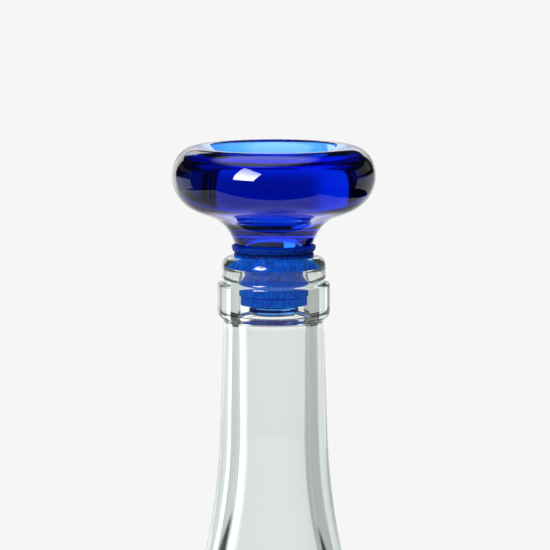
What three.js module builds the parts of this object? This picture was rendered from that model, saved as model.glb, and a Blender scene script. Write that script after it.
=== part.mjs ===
// A clear glass wine bottle closed by a decorative stopper: a solid blue glass knob whose stem
// is pushed through a ribbed silicone sleeve, and the sleeve grips the bottle's mouth.
// Millimetres, +Z up. The origin is the centre of the ring that the bottle stands on.
import * as THREE from 'three';

const FACETS = 48; // sides of every turned solid

// ---- Bottle, outside ----
const LIP_HEIGHT = 290; // standing plane to the top of the lip
const BODY_RADIUS = 40.75;
const HEEL_ROUND = 6.25;
const PUNT_HEIGHT = 22; // rise of the push-up under the base
const PUNT_RADIUS = 30; // where the push-up meets the standing ring
const OUTER_FLARE = {
  neckRadius: 13.35, // just under the collar
  neckSlope: 0.0345, // growth of the radius per millimetre down the neck
  flareDepth: 48.4, // depth below the lip where the straight neck starts to flare
  hollowRadius: 175, // concave arc from the neck to the shoulder
  shoulderAngle: 0.45, // steepest angle from the axis, in radians
  bodyRadius: BODY_RADIUS,
};

// ---- Bottle, finish (depths below the lip) ----
const NECK_TOP_DEPTH = 18;
const COLLAR_RADIUS = 15;
const COLLAR_TOP = 7.2;
const COLLAR_BOTTOM = 15.5;
const COLLAR_ROUND = 1.2;
const TIER_RADIUS = 13.85; // the tier between the collar and the lip
const TIER_BOTTOM = 6.2;
const LIP_CREST_RADIUS = 11.4;
const LIP_OUTER_DROP = 2.4; // height of the lip's outer rounding
const LIP_INNER_DROP = 1.4; // height of its inner rounding
const SEAT_RADIUS = 10.4; // top of the conical seat inside the mouth
const SEAT_DEPTH = 4; // where the seat reaches the bore

// ---- Bottle, inside ----
const BORE_RADIUS = 9.5;
const WALL = 3; // side wall of the body
const FLOOR = 4.5; // glass under the liquid
const INNER_HEEL_ROUND = 7;
const INNER_FLARE = {
  neckRadius: BORE_RADIUS,
  neckSlope: 0.006,
  flareDepth: 48,
  hollowRadius: 150,
  shoulderAngle: 0.5,
  bodyRadius: BODY_RADIUS - WALL,
};

// ---- Stopper knob (heights above the lip) ----
const KNOB_TOP = 29.3;
const KNOB_RADIUS = 27.1;
const EQUATOR = 21.7; // height of the widest circle
const CREST_RADIUS = 20.4; // radius of the rim's highest circle
const BELLY_ROUND = 10.2; // rounding under the equator
const DISH_DEPTH = 8;
const RIM_ROUND = 7; // convex rounding from the rim's crest into the dish
const STEM_SHOULDER = 3.1; // flat underside that rests on the sleeve
const STEM_NECK_RADIUS = 10.25; // the thick stem, where it rests on the sleeve
const STEM_TAPER = 0.4; // its slope from the axis, in radians
const STEM_NECK_TOP = 5.3; // where the taper ends
const STEM_FILLET = 9.95; // hollow rounding from the taper into the underside
const STEM_RADIUS = 5; // inside the sleeve
const STEM_BULB_RADIUS = 6.6; // rounded end that keeps the sleeve on
const STEM_END = -15.3;
const STEM_BULB_HEIGHT = 2.6;

// ---- Silicone sleeve (heights above the lip) ----
const SLEEVE_BORE = 5.3;
const SLEEVE_TOP = 2.8;
const FLANGE = { radius: 11.3, bottom: 1.4 };
const NECKING_RADIUS = 10; // groove under the flange
const SEAT_RING = { radius: 10.3, top: 0.95, bottom: -0.3 };
const PLUG = { topRadius: 10.05, top: -1.5, bottomRadius: 9.55, bottom: -2.9 };
const CORE = { radius: 6.6, top: -5.1, bottom: -5.5 };
const SKIRT = { radius: 9.2, edge: -6.9, bottom: -7.5 }; // conical top rib
const RIBS = [
  { radius: 9.1, top: -8.1, bottom: -10.05 },
  { radius: 8.8, top: -10.4, bottom: -12.5 },
];
const RIB_GROOVE_RADIUS = 8.2;
const RIB_EDGE = 0.3; // chamfer of each rib

// ---- Profile helpers: points are (radius, height) ----
const point = (radius, height) => new THREE.Vector2(radius, height);

// An elliptical arc between two angles, in radians from the outward direction.
function arc(centreR, centreZ, radiusR, radiusZ, from, to, steps) {
  const points = [];
  for (let i = 0; i <= steps; i += 1) {
    const angle = from + ((to - from) * i) / steps;
    points.push(point(centreR + radiusR * Math.cos(angle), centreZ + radiusZ * Math.sin(angle)));
  }
  return points;
}

// Turns a profile about Z. It starts and ends on the axis, or closes on itself.
function turned(profile) {
  const apart = profile.filter((p, i) => i === 0 || p.distanceTo(profile[i - 1]) > 1e-6);
  const geometry = new THREE.LatheGeometry(apart, FACETS);
  geometry.rotateX(Math.PI / 2);
  return geometry;
}

// Height of a smooth dome that is flat at its middle and at its edge.
const domeHeight = (radius, edge, rise) => (rise / 2) * (1 + Math.cos((Math.PI * radius) / edge));

function dome(edge, rise, base, steps) {
  const points = [];
  for (let i = 0; i <= steps; i += 1) {
    const radius = (edge * i) / steps;
    points.push(point(radius, base + domeHeight(radius, edge, rise)));
  }
  return points;
}

// Neck, hollow flare and round shoulder, from the body up to the neck: a straight neck, then a
// concave arc, then a convex arc that ends upright at the body.
function flare({ neckRadius, neckSlope, flareDepth, hollowRadius, shoulderAngle, bodyRadius }, steps) {
  const start = Math.atan(neckSlope);
  const startRadius = neckRadius + neckSlope * (flareDepth - NECK_TOP_DEPTH);
  const hollowR = startRadius + hollowRadius * Math.cos(start);
  const hollowZ = LIP_HEIGHT - flareDepth + hollowRadius * Math.sin(start);
  const bendRadius = hollowR - hollowRadius * Math.cos(shoulderAngle);
  const bendHeight = hollowZ - hollowRadius * Math.sin(shoulderAngle);
  const roundRadius = (bodyRadius - bendRadius) / (1 - Math.cos(shoulderAngle));
  const roundR = bodyRadius - roundRadius;
  const roundZ = bendHeight - roundRadius * Math.sin(shoulderAngle);
  return [
    ...arc(roundR, roundZ, roundRadius, roundRadius, 0, shoulderAngle, steps),
    ...arc(hollowR, hollowZ, hollowRadius, hollowRadius, Math.PI + shoulderAngle, Math.PI + start, steps),
  ];
}

// ---- Sub-parts ----
function bottleFinish() {
  const z = (depth) => LIP_HEIGHT - depth;
  const quarter = Math.PI / 2;
  const collarInner = COLLAR_RADIUS - COLLAR_ROUND;
  const lipRound = TIER_RADIUS - LIP_CREST_RADIUS;
  return [
    point(OUTER_FLARE.neckRadius, z(NECK_TOP_DEPTH)),
    ...arc(collarInner, z(COLLAR_BOTTOM - COLLAR_ROUND), COLLAR_ROUND, COLLAR_ROUND, -quarter / 2, 0, 3),
    ...arc(collarInner, z(COLLAR_TOP + COLLAR_ROUND), COLLAR_ROUND, COLLAR_ROUND, 0, quarter, 4),
    point(TIER_RADIUS, z(TIER_BOTTOM)),
    ...arc(LIP_CREST_RADIUS, z(LIP_OUTER_DROP), lipRound, LIP_OUTER_DROP, 0, quarter, 5),
    ...arc(
      LIP_CREST_RADIUS,
      z(LIP_INNER_DROP),
      LIP_CREST_RADIUS - SEAT_RADIUS,
      LIP_INNER_DROP,
      quarter,
      2 * quarter,
      4,
    ),
    point(BORE_RADIUS, z(SEAT_DEPTH)),
  ];
}

function bottleGeometry() {
  const innerRadius = BODY_RADIUS - WALL;
  const innerHeel = innerRadius - INNER_HEEL_ROUND;
  return turned([
    ...dome(PUNT_RADIUS, PUNT_HEIGHT, 0, 6),
    ...arc(BODY_RADIUS - HEEL_ROUND, HEEL_ROUND, HEEL_ROUND, HEEL_ROUND, -Math.PI / 2, 0, 5),
    ...flare(OUTER_FLARE, 7),
    ...bottleFinish(),
    ...flare(INNER_FLARE, 6).reverse(),
    ...arc(innerHeel, FLOOR + INNER_HEEL_ROUND, INNER_HEEL_ROUND, INNER_HEEL_ROUND, 0, -Math.PI / 2, 4),
    ...dome(innerHeel, PUNT_HEIGHT, FLOOR, 5).reverse(),
  ]);
}

// Centre of the hollow fillet that carries the stem's taper over into the underside.
function filletCentre() {
  const taperTop = STEM_NECK_RADIUS + Math.tan(STEM_TAPER) * (STEM_NECK_TOP - STEM_SHOULDER);
  return {
    r: taperTop + STEM_FILLET * Math.cos(STEM_TAPER),
    z: STEM_NECK_TOP - STEM_FILLET * Math.sin(STEM_TAPER),
  };
}

// Angle from the horizontal of the straight underside that touches both the belly's rounding
// and the stem's fillet.
function undersideAngle(bellyR, fillet) {
  const across = fillet.r - bellyR;
  const up = EQUATOR - fillet.z;
  return Math.atan2(across, up) + Math.acos((BELLY_ROUND + STEM_FILLET) / Math.hypot(across, up));
}

// The knob's stem, from its bulb up to the shoulder that rests on the sleeve.
function stemProfile() {
  const bulb = STEM_BULB_HEIGHT / 2;
  return [
    point(0, STEM_END),
    ...arc(STEM_BULB_RADIUS - bulb, STEM_END + bulb, bulb, bulb, -Math.PI / 2, Math.PI / 2, 6),
    point(STEM_RADIUS, STEM_END + STEM_BULB_HEIGHT),
    point(STEM_RADIUS, STEM_SHOULDER),
    point(STEM_NECK_RADIUS, STEM_SHOULDER),
  ];
}

// The dish: a convex rim that turns into a concave bowl, with no flat between them.
function dishProfile() {
  const slope = 2 * Math.atan(DISH_DEPTH / CREST_RADIUS);
  const bowlRadius = CREST_RADIUS / Math.sin(slope) - RIM_ROUND;
  const up = Math.PI / 2;
  return [
    ...arc(CREST_RADIUS, KNOB_TOP - RIM_ROUND, RIM_ROUND, RIM_ROUND, up, up + slope, 5),
    ...arc(0, KNOB_TOP - DISH_DEPTH + bowlRadius, bowlRadius, bowlRadius, slope - up, -up, 6),
  ];
}

function knobGeometry() {
  const bellyR = KNOB_RADIUS - BELLY_ROUND;
  const fillet = filletCentre();
  const underside = undersideAngle(bellyR, fillet);
  const up = Math.PI / 2;
  return turned([
    ...stemProfile(),
    ...arc(fillet.r, fillet.z, STEM_FILLET, STEM_FILLET, 2 * up - STEM_TAPER, up + underside, 6),
    ...arc(bellyR, EQUATOR, BELLY_ROUND, BELLY_ROUND, underside - up, 0, 8),
    ...arc(CREST_RADIUS, EQUATOR, KNOB_RADIUS - CREST_RADIUS, KNOB_TOP - EQUATOR, 0, up, 7),
    ...dishProfile(),
  ]);
}

// One rib of the sleeve, from its lower edge up.
function ribProfile({ radius, top, bottom }) {
  return [
    point(RIB_GROOVE_RADIUS, bottom),
    point(radius - RIB_EDGE, bottom),
    point(radius, bottom + RIB_EDGE),
    point(radius, top - RIB_EDGE),
    point(radius - RIB_EDGE, top),
    point(RIB_GROOVE_RADIUS, top),
  ];
}

function sleeveGeometry() {
  const flangeRound = (SLEEVE_TOP - FLANGE.bottom) / 2;
  const sleeveBottom = RIBS[RIBS.length - 1].bottom;
  const profile = [
    point(SLEEVE_BORE, sleeveBottom),
    ...[...RIBS].reverse().flatMap(ribProfile),
    point(RIB_GROOVE_RADIUS, SKIRT.bottom),
    point(SKIRT.radius, SKIRT.bottom),
    point(SKIRT.radius, SKIRT.edge),
    point(CORE.radius, CORE.bottom),
    point(CORE.radius, CORE.top),
    point(PLUG.bottomRadius, PLUG.bottom),
    point(PLUG.topRadius, PLUG.top),
    point(SEAT_RING.radius, SEAT_RING.bottom),
    point(SEAT_RING.radius, SEAT_RING.top),
    point(NECKING_RADIUS, SEAT_RING.top),
    point(NECKING_RADIUS, FLANGE.bottom),
    ...arc(FLANGE.radius - 1, FLANGE.bottom + flangeRound, 1, flangeRound, -Math.PI / 2, Math.PI / 2, 6),
    point(SLEEVE_BORE, SLEEVE_TOP),
    point(SLEEVE_BORE, sleeveBottom),
  ];
  return turned(profile);
}

// ---- Assembly ----
function piece(name, geometry, height, look) {
  const mesh = new THREE.Mesh(geometry, new THREE.MeshStandardMaterial(look));
  mesh.name = name;
  mesh.position.z = height;
  return mesh;
}

const clearGlass = { color: 0xdfe8e4, roughness: 0.04, metalness: 0 };
const blueGlass = { color: 0x1414a8, roughness: 0.03, metalness: 0 };
const blueSilicone = { color: 0x0a50c8, roughness: 0.55, metalness: 0 };

const part = new THREE.Group();
part.add(
  piece('bottle', bottleGeometry(), 0, clearGlass),
  piece('stopper_knob', knobGeometry(), LIP_HEIGHT, blueGlass),
  piece('stopper_sleeve', sleeveGeometry(), LIP_HEIGHT, blueSilicone),
);

export default part;
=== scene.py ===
"""A clear glass wine bottle closed by a blue glass stopper in a ribbed silicone sleeve.

The three CAD pieces are replaced by finely turned ones: the glass has the CAD's sizes, and the sleeve's
outline differs from it by a few tenths of a millimetre. They stand in a pale studio with a bright
backdrop, dark side flags and a softbox at the upper left. The studio isn't one physical room: what the
glass mirrors, what shows through it and what the camera sees are lit apart.
Lengths are millimetres until a mesh is made, and heights on the stopper and the finish are measured
from the top of the bottle's lip.
"""

import math

import bpy
import numpy as np
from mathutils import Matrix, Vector


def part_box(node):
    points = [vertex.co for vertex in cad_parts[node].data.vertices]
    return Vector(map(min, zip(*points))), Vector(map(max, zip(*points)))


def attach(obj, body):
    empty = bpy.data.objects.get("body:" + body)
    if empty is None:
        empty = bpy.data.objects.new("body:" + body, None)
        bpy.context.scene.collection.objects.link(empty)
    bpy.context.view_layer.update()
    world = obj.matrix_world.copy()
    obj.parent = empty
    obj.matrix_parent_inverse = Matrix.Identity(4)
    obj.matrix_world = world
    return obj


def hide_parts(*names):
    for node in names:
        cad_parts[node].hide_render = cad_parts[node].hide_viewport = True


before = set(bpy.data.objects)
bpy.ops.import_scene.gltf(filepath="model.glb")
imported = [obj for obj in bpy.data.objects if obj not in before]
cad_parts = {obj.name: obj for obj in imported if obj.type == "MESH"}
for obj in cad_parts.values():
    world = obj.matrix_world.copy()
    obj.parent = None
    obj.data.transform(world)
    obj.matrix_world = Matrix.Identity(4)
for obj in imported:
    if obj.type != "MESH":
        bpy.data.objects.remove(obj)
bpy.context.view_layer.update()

MM = 0.001
QUARTER = math.pi / 2
_, bottle_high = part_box("bottle")
LIP = bottle_high.z / MM  # top of the lip above the standing plane

# ---- Bottle, outside ----
BODY_RADIUS = bottle_high.x / MM
HEEL_ROUND = 6.25
PUNT_HEIGHT = 22.0
PUNT_RADIUS = 30.0
NECK_TOP_DEPTH = 18.0
OUTER_FLARE = dict(neck_radius=13.35, neck_slope=0.0345, flare_depth=48.4, hollow=175.0, angle=0.45)
OUTLINE_STEP = 2.0  # longest stretch of the bottle's outline between two rings

# ---- Bottle, finish (depths below the lip) ----
COLLAR_RADIUS = 15.0
COLLAR_TOP, COLLAR_BOTTOM = 7.2, 15.5
TIER_RADIUS = 13.85
TIER_BOTTOM = 6.2
LIP_CREST_RADIUS = 11.4
LIP_OUTER_DROP, LIP_INNER_DROP = 2.4, 1.4
SEAT_RADIUS, SEAT_DEPTH = 10.4, 4.0

# ---- Bottle, inside ----
BORE_RADIUS = 9.5
WALL = 3.0
FLOOR_GLASS = 4.5
INNER_HEEL_ROUND = 7.0
INNER_FLARE = dict(neck_radius=9.5, neck_slope=0.006, flare_depth=48.0, hollow=150.0, angle=0.5)

# ---- Stopper knob (heights above the lip) ----
knob_low, knob_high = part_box("stopper_knob")
KNOB_TOP = knob_high.z / MM - LIP
KNOB_RADIUS = knob_high.x / MM
EQUATOR = 21.7
CREST_RADIUS = 20.4
BELLY_ROUND = 10.2
DISH_DEPTH = 8.0
RIM_ROUND = 7.0
STEM_SHOULDER = 3.1
STEM_NECK_RADIUS = 10.25
STEM_TAPER = 0.4
STEM_NECK_TOP = 5.3
STEM_FILLET = 9.95
STEM_RADIUS = 5.0
STEM_END = knob_low.z / MM - LIP
STEM_BULB_RADIUS = 6.6
STEM_BULB_HEIGHT = 2.6

# ---- Mesh fineness ----
BOTTLE_SIDES, KNOB_SIDES, SLEEVE_SIDES = 192, 256, 192
STOPPER_STEP = 0.5
LIP_STEP = 0.15
FLARE_STEP = 0.8


# ---- Profiles: lists of (radius, height) ----
def arc(centre_r, centre_z, radius_r, radius_z, start, end, step=0.25):
    """An elliptical arc between two angles from the outward direction, in steps of about `step` mm."""
    count = max(6, math.ceil(max(radius_r, radius_z) * abs(end - start) / step))
    angles = np.linspace(start, end, count + 1)
    return [(centre_r + radius_r * math.cos(a), centre_z + radius_z * math.sin(a)) for a in angles]


def rounded(corners, default=0.3):
    """A polyline of (r, z) or (r, z, rounding) corners with each inner corner rounded."""
    points = [np.array(c[:2], float) for c in corners]
    out = [tuple(points[0])]
    for i in range(1, len(points) - 1):
        rounding = corners[i][2] if len(corners[i]) > 2 else default
        out += round_corner(points[i - 1], points[i], points[i + 1], rounding)
    out.append(tuple(points[-1]))
    return out


def round_corner(before, corner, after, rounding):
    """Points of a smooth curve that leaves out one corner, starting `rounding` away from it."""
    one, two = before - corner, after - corner
    reach = min(rounding, 0.45 * np.linalg.norm(one), 0.45 * np.linalg.norm(two))
    start = corner + one / np.linalg.norm(one) * reach
    end = corner + two / np.linalg.norm(two) * reach
    steps = np.linspace(0, 1, 9)
    return [tuple((1 - t) ** 2 * start + 2 * t * (1 - t) * corner + t * t * end) for t in steps]


def flare(neck_radius, neck_slope, flare_depth, hollow, angle, body_radius):
    """Shoulder and neck, upwards: a convex arc from the upright body, a concave arc, a straight neck."""
    start = math.atan(neck_slope)
    hollow_r = neck_radius + neck_slope * (flare_depth - NECK_TOP_DEPTH) + hollow * math.cos(start)
    hollow_z = LIP - flare_depth + hollow * math.sin(start)
    bend_r = hollow_r - hollow * math.cos(angle)
    bend_z = hollow_z - hollow * math.sin(angle)
    shoulder = (body_radius - bend_r) / (1 - math.cos(angle))
    shoulder_z = bend_z - shoulder * math.sin(angle)
    return [
        *arc(body_radius - shoulder, shoulder_z, shoulder, shoulder, 0, angle, FLARE_STEP),
        *arc(hollow_r, hollow_z, hollow, hollow, math.pi + angle, math.pi + start, FLARE_STEP),
    ]


def dome(edge, rise, base, count=60):
    """A push-up, from its top on the axis down to its edge, flat at both."""
    radii = np.linspace(0, edge, count)
    return [(r, base + rise / 2 * (1 + math.cos(math.pi * r / edge))) for r in radii]


def evened(profile, step):
    """The same outline with its long stretches cut into steps."""
    out = [profile[0]]
    for before, after in zip(profile, profile[1:]):
        length = math.dist(before, after)
        if length < 1e-4:
            continue
        count = max(1, math.ceil(length / step))
        for t in np.linspace(0, 1, count + 1)[1:]:
            out.append((before[0] + (after[0] - before[0]) * t, before[1] + (after[1] - before[1]) * t))
    return out


# ---- Turned meshes ----
def turned(name, profile, sides, lift=0.0):
    """A closed mesh turned about Z. The profile starts and ends on the axis, or closes on itself."""
    outline = np.array(profile, float)
    ring = math.dist(profile[0], profile[-1]) < 1e-6
    if ring:
        outline = outline[:-1]
    angles = np.linspace(0, 2 * math.pi, sides, endpoint=False)
    radius = np.repeat(outline[:, :1], sides, axis=1)
    height = np.repeat(outline[:, 1:], sides, axis=1) + lift
    co = np.stack([radius * np.cos(angles), radius * np.sin(angles), height], axis=2) * MM
    rows = len(outline)
    index = np.arange(rows * sides).reshape(rows, sides)
    faces = []
    last = rows if ring else rows - 1
    for i in range(last):
        low, high = index[i], index[(i + 1) % rows]
        if not ring and i == 0:
            faces += [(index[0, 0], high[j], high[(j + 1) % sides])[::-1] for j in range(sides)]
        elif not ring and i == rows - 2:
            faces += [(low[j], index[rows - 1, 0], low[(j + 1) % sides])[::-1] for j in range(sides)]
        else:
            faces += [(low[j], low[(j + 1) % sides], high[(j + 1) % sides], high[j]) for j in range(sides)]
    return make_mesh(name, co.reshape(-1, 3), faces)


def make_mesh(name, co, faces):
    """A smooth-shaded object. Points that no face uses are left out."""
    used = sorted(set(v for f in faces for v in f))
    renumber = {v: i for i, v in enumerate(used)}
    mesh = bpy.data.meshes.new(name)
    mesh.from_pydata(co[used].tolist(), [], [tuple(renumber[v] for v in f) for f in faces])
    mesh.shade_smooth()
    mesh.update()
    obj = bpy.data.objects.new(name, mesh)
    bpy.context.scene.collection.objects.link(obj)
    return obj


# ---- Bottle ----
def bottle_finish():
    """Collar, tier, lip and seat, from the neck up and over into the mouth."""
    collar = rounded([
        (OUTER_FLARE["neck_radius"], LIP - NECK_TOP_DEPTH),
        (OUTER_FLARE["neck_radius"] + 0.15, LIP - COLLAR_BOTTOM - 1.3, 1.2),
        (COLLAR_RADIUS, LIP - COLLAR_BOTTOM, 1.5),
        (COLLAR_RADIUS, LIP - COLLAR_TOP, 1.4),
        (TIER_RADIUS + 0.1, LIP - TIER_BOTTOM - 0.5, 0.9),
        (TIER_RADIUS, LIP - TIER_BOTTOM + 0.8, 0.8),
        (TIER_RADIUS, LIP - LIP_OUTER_DROP - 0.2),
    ])
    return [
        *collar,
        *arc(LIP_CREST_RADIUS, LIP - LIP_OUTER_DROP, TIER_RADIUS - LIP_CREST_RADIUS, LIP_OUTER_DROP,
             0, QUARTER, LIP_STEP),
        *arc(LIP_CREST_RADIUS, LIP - LIP_INNER_DROP, LIP_CREST_RADIUS - SEAT_RADIUS, LIP_INNER_DROP,
             QUARTER, 2 * QUARTER, LIP_STEP),
        (BORE_RADIUS, LIP - SEAT_DEPTH),
    ]


def make_bottle():
    inner_radius = BODY_RADIUS - WALL
    inner_heel = inner_radius - INNER_HEEL_ROUND
    profile = evened([
        *dome(PUNT_RADIUS, PUNT_HEIGHT, 0),
        *arc(BODY_RADIUS - HEEL_ROUND, HEEL_ROUND, HEEL_ROUND, HEEL_ROUND, -QUARTER, 0),
        *flare(**OUTER_FLARE, body_radius=BODY_RADIUS),
        *bottle_finish(),
        *flare(**INNER_FLARE, body_radius=inner_radius)[::-1],
        *arc(inner_heel, FLOOR_GLASS + INNER_HEEL_ROUND, INNER_HEEL_ROUND, INNER_HEEL_ROUND, 0, -QUARTER),
        *dome(inner_heel, PUNT_HEIGHT, FLOOR_GLASS)[::-1],
    ], OUTLINE_STEP)
    return turned("bottle_glass", profile, BOTTLE_SIDES)


# ---- Stopper ----
def fillet_centre():
    """Centre of the hollow arc that carries the stem's tapered neck over into the underside."""
    neck_top_r = STEM_NECK_RADIUS + math.tan(STEM_TAPER) * (STEM_NECK_TOP - STEM_SHOULDER)
    centre_r = neck_top_r + STEM_FILLET * math.cos(STEM_TAPER)
    return centre_r, STEM_NECK_TOP - STEM_FILLET * math.sin(STEM_TAPER)


def underside_angle(belly_r, fillet_r, fillet_z):
    """Slope of the straight underside that touches the belly's rounding and the stem's fillet."""
    across, up = fillet_r - belly_r, EQUATOR - fillet_z
    return math.atan2(across, up) + math.acos((BELLY_ROUND + STEM_FILLET) / math.hypot(across, up))


def dish():
    """The rim's inner rounding and the bowl in the knob's top, inwards to the axis."""
    slope = 2 * math.atan(DISH_DEPTH / CREST_RADIUS)
    bowl = CREST_RADIUS / math.sin(slope) - RIM_ROUND
    return [
        *arc(CREST_RADIUS, KNOB_TOP - RIM_ROUND, RIM_ROUND, RIM_ROUND, QUARTER, QUARTER + slope),
        *arc(0, KNOB_TOP - DISH_DEPTH + bowl, bowl, bowl, slope - QUARTER, -QUARTER),
    ]


def make_knob():
    bulb = STEM_BULB_HEIGHT / 2
    belly_r = KNOB_RADIUS - BELLY_ROUND
    fillet_r, fillet_z = fillet_centre()
    underside = underside_angle(belly_r, fillet_r, fillet_z)
    stem = [
        (0, STEM_END),
        *arc(STEM_BULB_RADIUS - bulb, STEM_END + bulb, bulb, bulb, -QUARTER, QUARTER),
        *rounded([
            (STEM_RADIUS + 0.5, STEM_END + 2 * bulb),
            (STEM_RADIUS, STEM_END + 2 * bulb + 0.4),
            (STEM_RADIUS, STEM_SHOULDER, 0.5),
            (STEM_NECK_RADIUS, STEM_SHOULDER, 0.4),
            (STEM_NECK_RADIUS + math.tan(STEM_TAPER), STEM_SHOULDER + 1),
        ]),
    ]
    profile = evened([
        *stem,
        *arc(fillet_r, fillet_z, STEM_FILLET, STEM_FILLET, 2 * QUARTER - STEM_TAPER, QUARTER + underside),
        *arc(belly_r, EQUATOR, BELLY_ROUND, BELLY_ROUND, underside - QUARTER, 0),
        *arc(CREST_RADIUS, EQUATOR, KNOB_RADIUS - CREST_RADIUS, KNOB_TOP - EQUATOR, 0, QUARTER),
        *dish(),
    ], STOPPER_STEP)
    return turned("stopper_knob_glass", profile, KNOB_SIDES, lift=LIP)


def make_sleeve():
    """The sleeve's outline, up its outside and down its bore. The plug cone reaches a little way into
    the mouth's seat, because pressed silicone is in optical contact with the glass."""
    lower_rib = [(8.85, -12.5, 0.5), (8.85, -10.45, 0.35), (8.2, -10.4, 0.1), (8.2, -10.15, 0.1)]
    upper_rib = [(9.2, -10.05, 0.4), (9.2, -8.4, 0.35), (8.0, -8.2, 0.2), (8.0, -7.75, 0.2)]
    skirt = [(9.2, -7.6, 0.2), (9.45, -7.3, 0.2), (9.45, -6.75, 0.3), (6.6, -5.7, 0.2)]
    plug_cone = [(6.6, -4.7, 0.3), (9.93, -2.95, 0.1), (10.4, -1.6, 0.1), (10.45, -0.6, 0.3)]
    seat_ring = [(10.6, 0.0, 0.3), (10.6, 0.95, 0.3), (9.9, 1.0, 0.1), (9.9, 1.4, 0.1)]
    flange = [(10.9, 1.45, 0.4), (11.3, 3.0, 0.6), (8.0, 3.0, 0.3), (5.1, 3.0, 0.2)]
    bore = [(5.1, 2.0), (5.1, -12.0), (5.1, -12.5)]
    outside = [(5.1, -12.5), (8.0, -12.5), *lower_rib, *upper_rib, *skirt, *plug_cone, *seat_ring, *flange]
    profile = evened(rounded([*outside, *bore]), STOPPER_STEP)
    return turned("stopper_sleeve_silicone", profile, SLEEVE_SIDES, lift=LIP)


# ---- Materials ----
GLASS_IOR = 1.52
CLEAR_ABSORPTION = (24, 18.5, 21.5)  # for each metre of the light's path, in red, green and blue
BLUE_ABSORPTION = (210, 95, 18.5)
ABSORPTION_MARGIN = 1.05  # keeps each channel of the absorption node's colour above 0
RIPPLE_SCALE = 60.0
CLEAR_RIPPLE, BLUE_RIPPLE = 0.02, 0.006  # depths in millimetres
CLEAR_PAINTED_GLOW = 1.2  # painted light: a faint glow inside the clear glass, which gives no light of its own, for each metre of its depth
PAINTED_GLOW_COLOUR = (0.86, 1.0, 0.93, 1)
SMUDGE_SCALE, SMUDGE_ROUGHNESS = 45.0, 0.012
# DEEP_BLUE is painted shade on the flange above the lip and LIT_BLUE is painted light inside the mouth;
# streaks and mottling mix them too.
DEEP_BLUE = (0.0, 0.001, 0.05, 1)
LIT_BLUE = (0.0, 0.15, 0.95, 1)
MOTTLE_SCALE, STREAK_SCALE, GRAIN_SCALE = 1500.0, 1800.0, 3500.0
GRAIN_DEPTH = 0.02  # millimetres
STREAK_STRETCH = 0.15  # how much slower the streaks change along the axis than across it


class Graph:
    """Short calls that make and link shader nodes. Inputs are numbers or other nodes' outputs."""

    def __init__(self, tree):
        self.tree = tree
        tree.nodes.clear()

    def add(self, kind, **settings):
        node = self.tree.nodes.new(kind)
        for name, value in settings.items():
            setattr(node, name, value)
        return node

    def link(self, value, socket):
        if isinstance(value, (int, float)):
            socket.default_value = value
        else:
            self.tree.links.new(value, socket)

    def math(self, operation, *values):
        node = self.add("ShaderNodeMath", operation=operation)
        for value, socket in zip(values, node.inputs):
            self.link(value, socket)
        return node.outputs["Value"]

    def mix(self, factor, one, two):
        node = self.add("ShaderNodeMix", data_type="FLOAT")
        for value, socket in zip((factor, one, two), (0, 2, 3)):
            self.link(value, node.inputs[socket])
        return node.outputs[0]

    def split(self, vector):
        node = self.add("ShaderNodeSeparateXYZ")
        self.link(vector, node.inputs[0])
        return node.outputs

    def ramp(self, value, start, end, low=0.0, high=1.0):
        """A smooth step from low at start to high at end."""
        node = self.add("ShaderNodeMapRange", interpolation_type="SMOOTHSTEP")
        for given, socket in zip((value, start, end, low, high), node.inputs):
            self.link(given, socket)
        return node.outputs["Result"]

    def inside(self, distance, half_width, soft):
        return self.ramp(distance, half_width - soft / 2, half_width + soft / 2, 1.0, 0.0)

    def curve(self, value, points, span):
        """Straight lines between (value, height) points, with heights from 0 to 1."""
        node = self.add("ShaderNodeValToRGB")
        low, high = span
        elements = node.color_ramp.elements
        while len(elements) < len(points):
            elements.new(0.5)
        for element, (place, height) in zip(elements, points):
            element.position = (place - low) / (high - low)
            element.color = (height, height, height, 1)
        self.link(self.math("MULTIPLY_ADD", value, 1 / (high - low), -low / (high - low)), node.inputs[0])
        return node.outputs["Color"]

    def distance(self, place, centre):
        node = self.add("ShaderNodeVectorMath", operation="DISTANCE")
        self.link(place, node.inputs[0])
        node.inputs[1].default_value = centre
        return node.outputs["Value"]

    def noise(self, place, scale, detail):
        node = self.add("ShaderNodeTexNoise")
        self.link(place, node.inputs["Vector"])
        node.inputs["Scale"].default_value = scale
        node.inputs["Detail"].default_value = detail
        return node.outputs["Fac"]

    def bump(self, height, depth):
        """A normal from a height of 0 to 1 that stands for `depth` millimetres."""
        node = self.add("ShaderNodeBump")
        node.inputs["Distance"].default_value = depth * MM
        self.link(height, node.inputs["Height"])
        return node.outputs["Normal"]

    def mirrored(self, ray):
        """1 for a ray that a polished surface sent back, 0 for one that came through it. A ray through
        glass counts as glossy too, so that alone doesn't tell them apart."""
        through = self.math("SUBTRACT", 1.0, ray.outputs["Is Transmission Ray"])
        return self.math("MULTIPLY", ray.outputs["Is Glossy Ray"], through)

    def finish(self, surface, volume=None):
        out = self.add("ShaderNodeOutputMaterial")
        self.link(surface, out.inputs["Surface"])
        if volume is not None:
            self.link(volume, out.inputs["Volume"])


def node_material(name):
    material = bpy.data.materials.new(name)
    material.use_nodes = True
    return material, Graph(material.node_tree)


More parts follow.
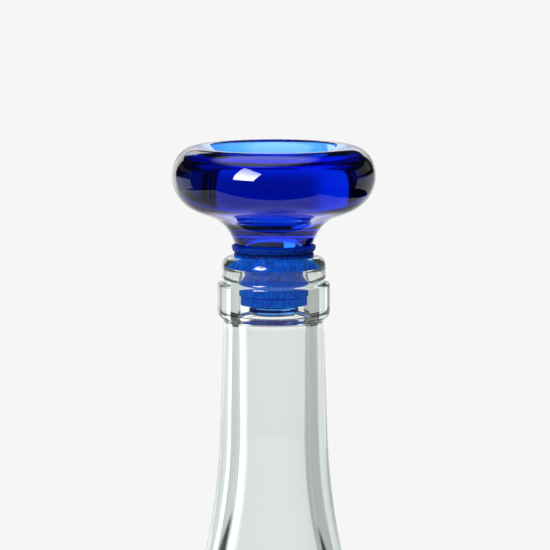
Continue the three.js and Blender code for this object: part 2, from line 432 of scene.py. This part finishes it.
def glass_material(name, absorption, ripple_scale, ripple_depth, glow=0):
    """Polished glass with faint ripples, coloured by what it absorbs in each metre of the light's path."""
    material, graph = node_material(name)
    place = graph.add("ShaderNodeTexCoord").outputs["Object"]
    shader = graph.add("ShaderNodeBsdfPrincipled")
    shader.inputs["Base Color"].default_value = (1, 1, 1, 1)
    shader.inputs["IOR"].default_value = GLASS_IOR
    shader.inputs["Transmission Weight"].default_value = 1.0
    graph.link(graph.bump(graph.noise(place, ripple_scale, 1.0), ripple_depth), shader.inputs["Normal"])
    smudges = graph.ramp(graph.noise(place, SMUDGE_SCALE, 4.0), 0.55, 0.8, 0.0, SMUDGE_ROUGHNESS)
    graph.link(smudges, shader.inputs["Roughness"])
    density = max(absorption) * ABSORPTION_MARGIN
    volume = graph.add("ShaderNodeVolumeAbsorption")
    volume.inputs["Color"].default_value = (*(1 - a / density for a in absorption), 1)
    volume.inputs["Density"].default_value = density
    inside = volume.outputs["Volume"]
    # Painted light: the clear glass glows faintly through its volume, though it is no lamp.
    if glow:
        light = graph.add("ShaderNodeEmission")
        light.inputs["Color"].default_value = PAINTED_GLOW_COLOUR
        light.inputs["Strength"].default_value = glow
        both = graph.add("ShaderNodeAddShader")
        graph.link(inside, both.inputs[0])
        graph.link(light.outputs["Emission"], both.inputs[1])
        inside = both.outputs[0]
    graph.finish(shader.outputs["BSDF"], inside)
    return material


def silicone_material():
    """Matte moulded silicone, translucent, with fine grain, mottling and streaks along the axis. It is
    painted deeper blue above the lip as painted shade, and lighter inside the mouth as painted light."""
    material, graph = node_material("blue_silicone")
    place = graph.add("ShaderNodeTexCoord").outputs["Object"]
    drawn = graph.add("ShaderNodeVectorMath", operation="MULTIPLY")
    graph.link(place, drawn.inputs[0])
    drawn.inputs[1].default_value = (1, 1, STREAK_STRETCH)
    mottle = graph.noise(place, MOTTLE_SCALE, 4.0)
    streaks = graph.noise(drawn.outputs[0], STREAK_SCALE, 3.0)
    pale = graph.math("MULTIPLY_ADD", streaks, 0.5, graph.math("MULTIPLY", mottle, 0.5))
    height = graph.split(place)[2]
    # Painted light and shade: below the lip, inside the mouth, the silicone is painted lighter, and above
    # it the flange is painted deeper blue.
    painted_light_in_mouth = graph.ramp(height, (LIP + 0.5) * MM, (LIP - 0.5) * MM, 0.0, 0.9)
    painted_light_in_mouth = graph.math("MULTIPLY", painted_light_in_mouth, graph.ramp(pale, 0.36, 0.6, 0.45, 1.0))
    colour = graph.add("ShaderNodeMix", data_type="RGBA")
    graph.link(graph.math("ADD", painted_light_in_mouth, graph.ramp(pale, 0.34, 0.66, 0.0, 0.15)), colour.inputs[0])
    colour.inputs[6].default_value = DEEP_BLUE
    colour.inputs[7].default_value = LIT_BLUE
    shader = graph.add("ShaderNodeBsdfPrincipled")
    graph.link(colour.outputs[2], shader.inputs["Base Color"])
    shader.inputs["Specular IOR Level"].default_value = 0.05
    shader.inputs["Subsurface Weight"].default_value = 1.0
    shader.inputs["Subsurface Radius"].default_value = (0.05, 0.5, 1.0)
    shader.inputs["Subsurface Scale"].default_value = 0.006
    graph.link(graph.ramp(mottle, 0.2, 0.8, 0.45, 0.6), shader.inputs["Roughness"])
    graph.link(graph.bump(graph.noise(place, GRAIN_SCALE, 2.0), GRAIN_DEPTH), shader.inputs["Normal"])
    graph.finish(shader.outputs["BSDF"])
    return material


# ---- Studio ----
BACKGROUND = 0.9216  # scene-linear grey of the plain pale background
FLOOR_RADIUS = 0.93
FLOOR_SIDES = 128
FLOOR_GAP = 0.05  # millimetres below the bottle
FLOOR_FADE = (0.45, 0.9)  # metres from the bottle over which the floor turns into the background
FLOOR_GREY = 0.5
FLOOR_GRAIN, FLOOR_GRAIN_SCALE = 0.02, 900.0
POOL_GREY = (0.3, 1.1)  # the floor as the glass shows it, away from and in the painted pool of light behind
POOL_PLACE = (0.0, 0.33, 0.0)
POOL_RADIUS, POOL_CORE = 0.5, 0.2  # metres from its centre where it ends, and where it is at its full
POOL_NARROWING = 2.5
TABLE_EDGES = (-0.75, 0.42, -0.26)  # left, right and front, in metres, as the glass mirrors them
TABLE_SOFT = 0.02
SOFTBOX_CORNERS = [(-134, 11, 0.75), (-157, 8, 1.0), (-165.5, 32, 1.15), (-136, 52, 0.95)]
SOFTBOX_LIGHT = (26.0, 10.0)  # at its foot and at its head
SOFTBOX_FADE = (0.45, 1.0)  # heights in metres between which it fades

# Directions are in degrees: azimuth 0 is behind the object (+Y) and 90 is to its right (+X).
BACKDROP = (-36, 24.5)
BACKDROP_TOP = 17.5
BACKDROP_LIGHT = [
    (-25, 0.95), (-9, 1.0), (-3, 1.25), (1, 1.0), (3, 0.77), (4.5, 0.7), (6, 0.8), (8, 1.1),
    (10, 1.35), (14, 1.6), (18, 2.0),
]
SURROUND = 0.9  # the pale room above, and beside for light straight through; mirror images leave it out
SURROUND_RISE = (20.0, 35.0)  # elevations over which the upper room begins
SURROUND_SIDE = (78.0, 84.0)  # azimuths beyond which the room beside shows straight through the glass
DARK = 0.02
OVERHEAD_AXIS = (-0.12, 0.07, 0.99)
# The overhead light through the glass, and as the glass mirrors it: the cosines of the angle from its
# axis between which it begins, and its brightness.
OVERHEAD_SPAN = ((0.70, 0.80), (0.80, 0.93))
OVERHEAD_LIGHT = (2.6, 1.9)

# What hangs or stands round the object: brightness, azimuth from and to, elevation from and to, and the
# softness of the edges.
PANELS = [
    (1.85, -60, -18, -14, 30, 10),     # brighter left end of the backdrop
    (0.03, -72, 72, 17.5, 64, 1.5),    # ceiling behind
    (2.2, -26, -11, 19, 31, 2),        # a taller strip at the backdrop's left
    (0.58, 24.5, 72, -19, 10, 1),      # grey foot of the right side
    (0.8, -72, -36, -19, 10, 1),       # grey foot of the left side
    (DARK, 24.5, 72, -1.5, 62, 2),     # black flag on the right
    (DARK, -72, -36, -3.3, 62, 2),     # black flag on the left
    (0.22, 34, 72, 4.0, 16, 1.5),      # stands and cloths on the flags
    (0.3, 26.3, 26.9, -4, 15, 0.3),
    (0.3, 29.0, 29.5, -4, 15, 0.3),
    (0.1, -72, -40, 7, 14, 2),
]

CAMERA_DISTANCE = 0.9  # metres in front of the bottle's axis
CAMERA_RISE = 0.113  # metres above the lip
AIM = (0.00032, -5.1)  # metres beside the axis, and millimetres from the lip
PICTURE_WIDTH = 146.19  # millimetres at the axis that the picture takes in
SENSOR_WIDTH = 36.0


def make_camera():
    data = bpy.data.cameras.new("camera")
    camera = bpy.data.objects.new("camera", data)
    bpy.context.scene.collection.objects.link(camera)
    aim = Vector((AIM[0], 0, (LIP + AIM[1]) * MM))
    camera.location = (aim.x, -CAMERA_DISTANCE, LIP * MM + CAMERA_RISE)
    look = aim - camera.location
    camera.rotation_euler = look.to_track_quat("-Z", "Y").to_euler()
    data.sensor_width = SENSOR_WIDTH
    data.lens = SENSOR_WIDTH * look.length / MM / PICTURE_WIDTH
    data.clip_start, data.clip_end = 0.02, 50
    bpy.context.scene.camera = camera


def make_world():
    """The studio by direction. Mirror images keep to a dark room, rays that came through the glass also
    have the pale room above, those that went straight through have it beside them too, and the camera
    itself sees only the plain background."""
    world = bpy.data.worlds.new("studio")
    bpy.context.scene.world = world
    world.use_nodes = True
    graph = Graph(world.node_tree)
    direction = graph.add("ShaderNodeTexCoord").outputs["Generated"]
    x, y, z = graph.split(direction)
    to_degrees = 180 / math.pi
    azimuth = graph.math("MULTIPLY", graph.math("ARCTAN2", x, y), to_degrees)
    elevation = graph.math("MULTIPLY", graph.math("ARCSINE", z), to_degrees)
    ray = graph.add("ShaderNodeLightPath")

    def panel(light, brightness, left, right, low, high, soft):
        turn = graph.math("SUBTRACT", azimuth, (left + right) / 2)
        turn = graph.math("ABSOLUTE", graph.math("WRAP", turn, 180.0, -180.0))
        rise = graph.math("ABSOLUTE", graph.math("SUBTRACT", elevation, (low + high) / 2))
        across = graph.inside(turn, (right - left) / 2, soft)
        upright = graph.inside(rise, (high - low) / 2, soft)
        return graph.mix(graph.math("MULTIPLY", across, upright), light, brightness)

    mirrored = graph.mirrored(ray)
    straight = graph.math("COMPARE", ray.outputs["Glossy Depth"], 0, 0.5)
    beside = graph.ramp(graph.math("ABSOLUTE", azimuth), *SURROUND_SIDE, DARK, SURROUND)
    low_room = graph.mix(straight, DARK, beside)
    upper_room = graph.ramp(elevation, *SURROUND_RISE)
    light = graph.mix(mirrored, graph.mix(upper_room, low_room, SURROUND), DARK)
    brightest = max(b for _, b in BACKDROP_LIGHT)
    sweep = graph.curve(elevation, [(e, b / brightest) for e, b in BACKDROP_LIGHT], (-30, 30))
    sweep = graph.math("MULTIPLY", sweep, brightest)
    light = panel(light, sweep, *BACKDROP, -40, BACKDROP_TOP, 1)
    for entry in PANELS:
        light = panel(light, *entry)
    overhead = graph.add("ShaderNodeVectorMath", operation="DOT_PRODUCT")
    graph.link(direction, overhead.inputs[0])
    overhead.inputs[1].default_value = OVERHEAD_AXIS
    for which, span, brightness in zip((0, 1), OVERHEAD_SPAN, OVERHEAD_LIGHT):
        seen = graph.math("COMPARE", mirrored, which, 0.5)
        inside = graph.ramp(overhead.outputs["Value"], *span)
        light = graph.mix(graph.math("MULTIPLY", seen, inside), light, brightness)
    light = graph.mix(ray.outputs["Is Camera Ray"], light, BACKGROUND)
    background = graph.add("ShaderNodeBackground")
    graph.link(light, background.inputs["Color"])
    out = graph.add("ShaderNodeOutputWorld")
    graph.link(background.outputs["Background"], out.inputs["Surface"])


def make_floor():
    """A pale round table top, just under the bottle, that fades into the background. What the glass
    shows of it has a painted pool of light behind the object, and its mirror images end at the table's
    edges."""
    angles = np.linspace(0, 2 * math.pi, FLOOR_SIDES, endpoint=False)
    rim = np.stack([np.cos(angles), np.sin(angles), np.zeros(FLOOR_SIDES)], axis=1) * FLOOR_RADIUS
    co = np.vstack([rim, [[0, 0, 0]]])
    co[:, 2] -= FLOOR_GAP * MM
    faces = [(j, (j + 1) % FLOOR_SIDES, FLOOR_SIDES) for j in range(FLOOR_SIDES)]
    floor = make_mesh("floor", co, faces)
    material, graph = node_material("pale_floor")
    place = graph.add("ShaderNodeTexCoord").outputs["Object"]
    ray = graph.add("ShaderNodeLightPath")
    fade = graph.ramp(graph.distance(place, (0, 0, 0)), *FLOOR_FADE)
    narrowed = graph.add("ShaderNodeVectorMath", operation="MULTIPLY")
    graph.link(place, narrowed.inputs[0])
    narrowed.inputs[1].default_value = (POOL_NARROWING, 1, 1)
    # Painted pool of light: where the glass shows the floor, its colour is lighter behind the object.
    painted_pool = graph.ramp(graph.distance(narrowed.outputs[0], POOL_PLACE), POOL_RADIUS, POOL_CORE, *POOL_GREY)
    grain = graph.noise(place, FLOOR_GRAIN_SCALE, 3.0)
    grain = graph.math("MULTIPLY_ADD", grain, FLOOR_GRAIN, FLOOR_GREY - FLOOR_GRAIN / 2)
    x, y, _ = graph.split(place)
    left, right, front = TABLE_EDGES
    from_left = graph.ramp(x, left - TABLE_SOFT, left)
    from_right = graph.ramp(x, right, right + TABLE_SOFT, 1, 0)
    on_table = graph.math("MULTIPLY", from_left, from_right)
    on_table = graph.math("MULTIPLY", on_table, graph.ramp(y, front - TABLE_SOFT, front))
    mirrored = graph.mirrored(ray)
    grey = graph.mix(ray.outputs["Is Transmission Ray"], grain, graph.math("MAXIMUM", painted_pool, FLOOR_GREY))
    grey = graph.mix(mirrored, grey, graph.math("MULTIPLY", on_table, painted_pool))
    diffuse = graph.add("ShaderNodeBsdfDiffuse")
    graph.link(grey, diffuse.inputs["Color"])
    glow = graph.add("ShaderNodeEmission")
    glow.inputs["Color"].default_value = (BACKGROUND,) * 3 + (1,)
    graph.link(graph.mix(mirrored, 1.0, on_table), glow.inputs["Strength"])
    mixed = graph.add("ShaderNodeMixShader")
    graph.link(fade, mixed.inputs[0])
    graph.link(diffuse.outputs["BSDF"], mixed.inputs[1])
    graph.link(glow.outputs["Emission"], mixed.inputs[2])
    graph.finish(mixed.outputs["Shader"])
    floor.data.materials.append(material)


def make_softbox():
    """A tall light at the front left, nearer on its left side, which glass shows as a slanting patch. Its
    corners are azimuth, elevation and metres from the middle of the lip."""
    co = []
    for azimuth, elevation, reach in SOFTBOX_CORNERS:
        a, e = math.radians(azimuth), math.radians(elevation)
        level = reach * math.cos(e)
        co.append((level * math.sin(a), level * math.cos(a), reach * math.sin(e) + LIP * MM))
    softbox = make_mesh("softbox", np.array(co), [(0, 1, 2, 3)])
    softbox.visible_camera = False
    softbox.visible_transmission = False
    material, graph = node_material("softbox_light")
    glow = graph.add("ShaderNodeEmission")
    height = graph.split(graph.add("ShaderNodeTexCoord").outputs["Object"])[2]
    graph.link(graph.ramp(height, *SOFTBOX_FADE, *SOFTBOX_LIGHT), glow.inputs["Strength"])
    graph.finish(glow.outputs["Emission"])
    softbox.data.materials.append(material)


bottle = make_bottle()
knob = make_knob()
sleeve = make_sleeve()
for piece, node, body, slot in (
    (bottle, "bottle", "bottle", "clear_glass"),
    (knob, "stopper_knob", "knob", "blue_glass"),
    (sleeve, "stopper_sleeve", "sleeve", "blue_silicone"),
):
    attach(piece, body)
    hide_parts(node)

clear_glass = glass_material("clear_glass", CLEAR_ABSORPTION, RIPPLE_SCALE, CLEAR_RIPPLE, CLEAR_PAINTED_GLOW)
bottle.data.materials.append(clear_glass)
knob.data.materials.append(glass_material("blue_glass", BLUE_ABSORPTION, RIPPLE_SCALE, BLUE_RIPPLE))
sleeve.data.materials.append(silicone_material())

make_camera()
make_world()
make_floor()
make_softbox()
scene = bpy.context.scene
scene.view_settings.view_transform = "Standard"
scene.cycles.max_bounces = 32
scene.cycles.transmission_bounces = 32
scene.cycles.glossy_bounces = 16
